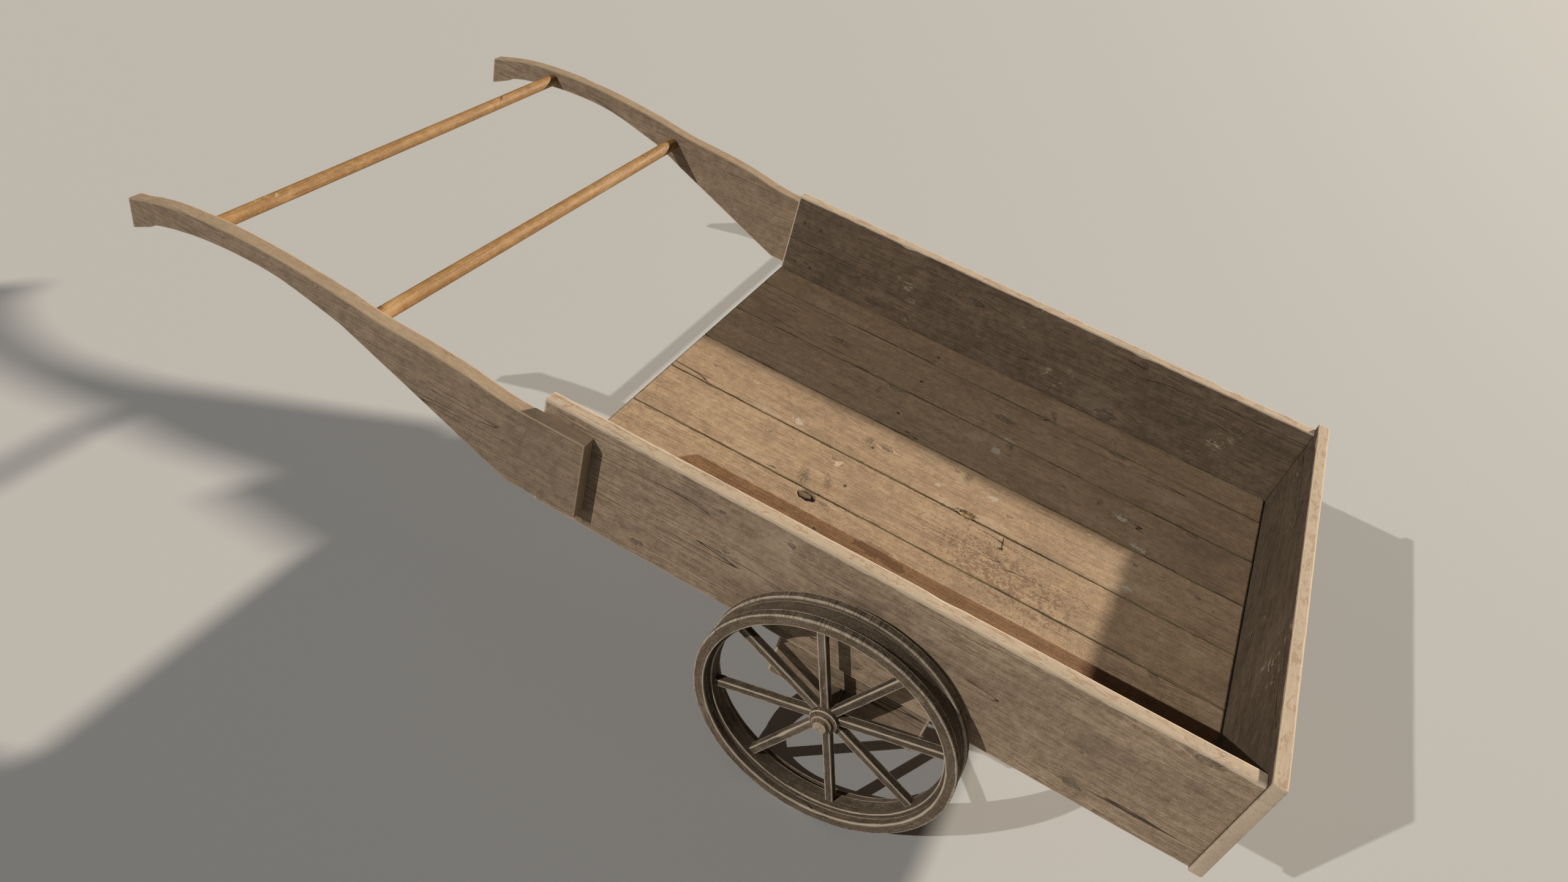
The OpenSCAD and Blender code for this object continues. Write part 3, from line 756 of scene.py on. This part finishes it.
def worn_board(name, node, body, material, origin, axes, size, chamfer=2.4 * MM, spacing=9 * MM,
               mids=3, profile=None, sink=0.25 * MM, bleach=0.0, facing=None, tone=1.0,
               rounder=None, end_wear=(0.85, 0.85), dents=()):
    """A board with uneven worn edges, along axes (along, across, through) from one corner.

    profile(run) may give the low and high limits through the piece at each place. One corner
    may be rounder than the others, each end has its own wear, and dents go into the face at
    the high end of the through axis."""
    seed = next(seeds)
    chamfer_sizes = [chamfer * (1.5 if corner == rounder else 1.0) for corner in range(4)]
    fades = [GRADIENT * (0.9 if corner == rounder else 1.0) for corner in range(4)]
    length, width, depth = size
    origin = np.array(origin)
    shift = grain_shift(seed)
    stations, shares = board_grid(length, width, chamfer, spacing, mids, dents)
    points, grain, wear = [], [], []
    for run, inset in stations.items():
        low_d, high_d = profile(run) if profile else (0.0, depth)
        most = 0.3 * min(high_d - low_d, width)
        chamfers = [min(chamfer_depth(seed, corner, run, chamfer_sizes[corner]), most)
                    for corner in range(4)]
        low, high = (inset, low_d + inset), (width - inset, high_d - inset)
        section, weights = section_points(low, high, chamfers, shares, fades)
        row, row_grain = [], []
        for a, d in section:
            # The faces sink a little and unevenly; nothing rises out of the CAD shape
            dip = sink * (0.5 + 0.5 * wobble(run * 6.0, a * 20.0, seed * 1.3))
            off_face = dip if d < (low_d + high_d) / 2 else -dip - dent_depth(dents, run, a)
            row.append(origin + axes[0] * run + axes[1] * a + axes[2] * (d + off_face))
            row_grain.append(shift + (run, a, d))
        points.append(row)
        grain.append(row_grain)
        at_end = inset > 0 or run in (chamfer, length - chamfer)
        least = end_wear[0 if run < length / 2 else 1] if at_end else 0.0
        wear.append([max(weight, least) for weight in weights])
    wear = np.array(wear)
    mesh = swept_mesh(name, np.array(points), np.array(grain), wear, np.zeros_like(wear),
                      tone * tone_of(seed), False, bleach, facing)
    return place_piece(name, mesh, material, body, node)


def board_from_box(node, body, material, along, across, **options):
    """A worn board that fills a CAD node's box, with its grain along one axis."""
    low, high = (np.array(c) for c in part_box(node))
    axes = (along, across, np.cross(along, across))
    size = [abs(float((high - low) @ axis)) for axis in axes]
    origin = low.copy()
    for axis in axes:
        if axis.sum() < 0:
            origin -= axis * float((high - low) @ -axis)
    return worn_board(node + "_wood", node, body, material, origin, axes, size, **options)


def round_piece(node, body, material, radius_wear=0.35 * MM, spacing=12 * MM, sides=40):
    """A round bar along Y that fills a CAD node's box, a little out of round."""
    seed = next(seeds)
    low, high = (np.array(c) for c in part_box(node))
    centre, radius = (low + high) / 2, (high[0] - low[0]) / 2
    length = high[1] - low[1]
    shift = grain_shift(seed)
    points, grain, wear = [], [], []
    for run, inset in run_stations(length, 1 * MM, spacing):
        row, row_grain = [], []
        for i in range(sides):
            turn = 2 * math.pi * i / sides
            dip = radius_wear * (0.5 + 0.5 * wobble(run * 5.0, math.cos(turn) + seed,
                                                    math.sin(turn)))
            r = radius - inset - dip
            x, z = r * math.cos(turn), r * math.sin(turn)
            row.append((centre[0] + x, low[1] + run, centre[2] + z))
            row_grain.append(shift + (run, x, z))
        points.append(row)
        grain.append(row_grain)
        wear.append([0.6 if inset > 0 else 0.0] * sides)
    wear = np.array(wear)
    mesh = swept_mesh(node + "_wood", np.array(points), np.array(grain), wear,
                      np.zeros_like(wear), tone_of(seed), False)
    return place_piece(node + "_wood", mesh, material, body, node)


RING_SEGMENTS = 224


def worn_ring(node, body, centre, inner, outer, low, high, chamfer, tread, facing):
    """A wooden ring about the axle, with uneven worn edges and grain round its length.

    Tread says how strongly its outer face is marked."""
    seed = next(seeds)
    points, grain, wear, hatch = [], [], [], []
    middle = (inner + outer) / 2
    shift = grain_shift(seed)
    most = 0.3 * min(high - low, outer - inner)
    for i in range(RING_SEGMENTS + 1):
        turn = 2 * math.pi * i / RING_SEGMENTS
        c, s = math.cos(turn), math.sin(turn)
        chamfers = []
        for corner in range(4):
            uneven = 0.9 + 0.4 * wobble(c * 3.1 + corner * 7.0, s * 3.1, seed * 1.9) \
                + 0.35 * wobble(c * 11.0 + corner * 5.0, s * 11.0, seed * 2.7)
            chamfers.append(min(chamfer * max(0.35, uneven), most))
        section, weights = section_points((inner, low), (outer, high), chamfers, [0.5])
        row = [(centre[0] + r * c, y, centre[2] + r * s) for r, y in section]
        points.append(row)
        grain.append([shift + (turn * middle, r, y) for r, y in section])
        wear.append(weights)
        hatch.append([tread if r > outer - 1.5 * chamfer else 0.0 for r, y in section])
    mesh = swept_mesh(node + "_wood", np.array(points)[:-1], np.array(grain), np.array(wear),
                      np.array(hatch), tone_of(seed), True, 0.0, facing)
    return place_piece(node + "_wood", mesh, "wheel_wood", body, node)


def dress_cad(node, material, along, end_tone=1.0):
    """Gives a kept CAD node its grain along one axis, wear on its chamfers, paler end faces."""
    seed = next(seeds)
    piece = nodes[node]
    mesh = piece.data
    low, high = (np.array(c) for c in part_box(node))
    across = np.roll(along, 1)
    axes = np.array([along, across, np.cross(along, across)])
    shift = grain_shift(seed)
    co = np.array([v.co for v in mesh.vertices]) - (low + high) / 2
    corner = np.array([loop.vertex_index for loop in mesh.loops])
    grain = (co @ axes.T)[corner] + shift
    worn, blank = np.zeros((2, len(mesh.loops)))
    tones = np.full(len(mesh.loops), tone_of(seed))
    for face in mesh.polygons:
        loops = slice(face.loop_start, face.loop_start + face.loop_total)
        lean = abs(float(np.array(face.normal) @ along))
        worn[loops] = 1.0 if 0.25 < lean < 0.9 else 0.0
        tones[loops] *= end_tone if lean > 0.9 else 1.0
    mesh.attributes.new("grain", "FLOAT_VECTOR", "CORNER").data.foreach_set(
        "vector", grain.astype(np.float32).reshape(-1))
    for label, values in (("wear", worn), ("hatch", blank), ("bleach", blank),
                          ("tone", tones)):
        mesh.attributes.new(label, "FLOAT", "CORNER").data.foreach_set(
            "value", values.astype(np.float32))
    mesh.materials.clear()
    mesh.materials.append(materials[material])


# ---- the cart ----

def floor_plank(node):
    """A floor plank with its share of the dents. Those near the right side are paler; the rest
    are darker, as greyer wood and as painted shade where the far side board's shadow falls.
    """
    low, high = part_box(node)
    dents = [(x - low.x, y - low.y, length * MM, width * MM, depth)
             for (x, y, length, width, _), depth in FLOOR_DENTS if low.y < y < high.y]
    board_from_box(node, "cart", "floor_wood", X, Y, chamfer=1.7 * MM, mids=4,
                   tone=1.04 if high.y < 0.1 else 0.86, dents=dents)


def build_box():
    for side, inward, outer_top in (("left", -Y, 1), ("right", Y, 2)):
        # Inner faces painted 0.47 as dark: painted shade. Tops paler: bleached wood and painted
        # light
        board_from_box(f"side_board_{side}", "cart", "board_wood", X, Z, mids=6,
                       chamfer=2.6 * MM, bleach=1.0, facing=(inward, 0.47), rounder=outer_top,
                       end_wear=(0.85, 0.0))
        board_from_box(f"axle_bracket_{side}", "cart", "board_wood", X, Z, chamfer=3.5 * MM,
                       tone=0.8)
    # Inner face painted 0.45 as dark: painted shade. Top paler: bleached wood and painted light
    board_from_box("front_board", "cart", "board_wood", Y, Z, mids=6, chamfer=2.8 * MM,
                   bleach=1.0, facing=(-X, 0.45))
    for node in sorted(n for n in nodes if n.startswith("floor_plank_")):
        floor_plank(node)
    for node in [n for n in nodes if n.startswith("floor_batten")] + ["bolster"]:
        board_from_box(node, "cart", "board_wood", Y, X)


def shaft_limits(node, middle_y):
    """Function that gives a shaft's underside and top at a place along it, from its CAD mesh."""
    mesh = nodes[node].data
    tree = BVHTree.FromPolygons([v.co for v in mesh.vertices],
                                [list(p.vertices) for p in mesh.polygons])
    low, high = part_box(node)
    margin = 0.2 * MM

    def limits(run):
        x = min(max(low.x + run, low.x + margin), high.x - margin)
        top = tree.ray_cast(Vector((x, middle_y, high.z + 1)), Vector((0, 0, -1)))[0]
        bottom = tree.ray_cast(Vector((x, middle_y, low.z - 1)), Vector((0, 0, 1)))[0]
        return bottom.z - low.z, top.z - low.z
    return limits


def build_shafts():
    for side in ("left", "right"):
        node = f"shaft_{side}"
        low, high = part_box(node)
        length, width, depth = high - low
        limits = shaft_limits(node, (low.y + high.y) / 2)
        # Shaft tops paler: bleached wood and painted light from above
        worn_board(node + "_wood", node, "cart", "shaft_wood", low, (X, Y, Z),
                   (length, width, depth), chamfer=2.0 * MM, spacing=7 * MM, profile=limits,
                   bleach=0.75)
    for node in ("handle_bar", "cross_rail"):
        round_piece(node, "cart", "bar_wood")
    round_piece("axle", "cart", "turned_wood", 0.1 * MM)


def spoke_axes(node, centre):
    """Direction out along a spoke, the direction across it, and its width, from its CAD mesh."""
    points = np.array([v.co for v in nodes[node].data.vertices]) - centre
    points[:, 1] = 0.0
    reach = np.linalg.norm(points, axis=1)
    along = points[reach > 0.9 * reach.max()].mean(axis=0)
    along /= np.linalg.norm(along)
    across = np.cross(-Y, along)
    return along, across, float(np.ptp(points @ across))


SPOKES = 8
RING_DEPTH = 19 * MM     # of the felloe and of the flanges, from the outside in
INTO_HUB = 3 * MM
INTO_FELLOE = 2 * MM


def build_spokes(side, centre, felloe_radius, outward):
    spoke_low, spoke_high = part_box(f"spoke_{side}_1")
    hub_low, hub_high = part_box(f"hub_{side}")
    start = (hub_high.z - hub_low.z) / 2 - INTO_HUB
    length = felloe_radius - RING_DEPTH + INTO_FELLOE - start
    depth = spoke_high.y - spoke_low.y
    middle = np.array([centre[0], (spoke_high.y + spoke_low.y) / 2, centre[2]])
    for number in range(1, SPOKES + 1):
        node = f"spoke_{side}_{number}"
        along, across, width = spoke_axes(node, centre)
        origin = middle + along * start - across * width / 2 + Y * depth / 2
        # Outward faces painted 1.4 times as pale as the sides: painted light and shade
        worn_board(node + "_wood", node, f"wheel_{side}", "wheel_wood", origin,
                   (along, across, -Y), (length, width, depth), chamfer=1.5 * MM, mids=1,
                   sink=0.1 * MM, facing=(outward, 1.4), tone=0.72)


def build_wheel(side):
    body = f"wheel_{side}"
    low, high = (np.array(c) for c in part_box(f"outer_flange_{side}"))
    centre, radius = (low + high) / 2, (high[2] - low[2]) / 2
    outward = Y * math.copysign(1.0, centre[1])
    for flange in ("outer_flange", "inner_flange"):
        flange_low, flange_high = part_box(f"{flange}_{side}")
        # Outward faces painted 1.25 times as pale: painted light
        worn_ring(f"{flange}_{side}", body, centre, radius - RING_DEPTH, radius,
                  flange_low.y, flange_high.y, 2 * MM, 1.0, (outward, 1.25))
    felloe_low, felloe_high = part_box(f"felloe_{side}")
    felloe_radius = (felloe_high.z - felloe_low.z) / 2
    worn_ring(f"felloe_{side}", body, centre, felloe_radius - RING_DEPTH, felloe_radius,
              felloe_low.y, felloe_high.y, 1 * MM, 0.0, None)
    build_spokes(side, centre, felloe_radius, outward)
    dress_cad(f"hub_{side}", "wheel_wood", Y, 1.5)
    dress_cad(f"rim_pegs_{side}", "turned_wood", Y)


def build_small_parts():
    for side in ("left", "right"):
        dress_cad(f"spacer_{side}", "turned_wood", Y)
        dress_cad(f"collar_{side}", "turned_wood", Y)
    dress_cad("bracket_dowels", "turned_wood", Z)
    for node in ("collar_pins", "front_nails", "floor_nails", "shaft_nails", "bar_nails"):
        nodes[node].data.materials.clear()
        nodes[node].data.materials.append(materials["iron"])


make_camera()
make_lights()
make_stage()
materials = make_materials()
build_box()
build_shafts()
for wheel_side in ("left", "right"):
    build_wheel(wheel_side)
build_small_parts()
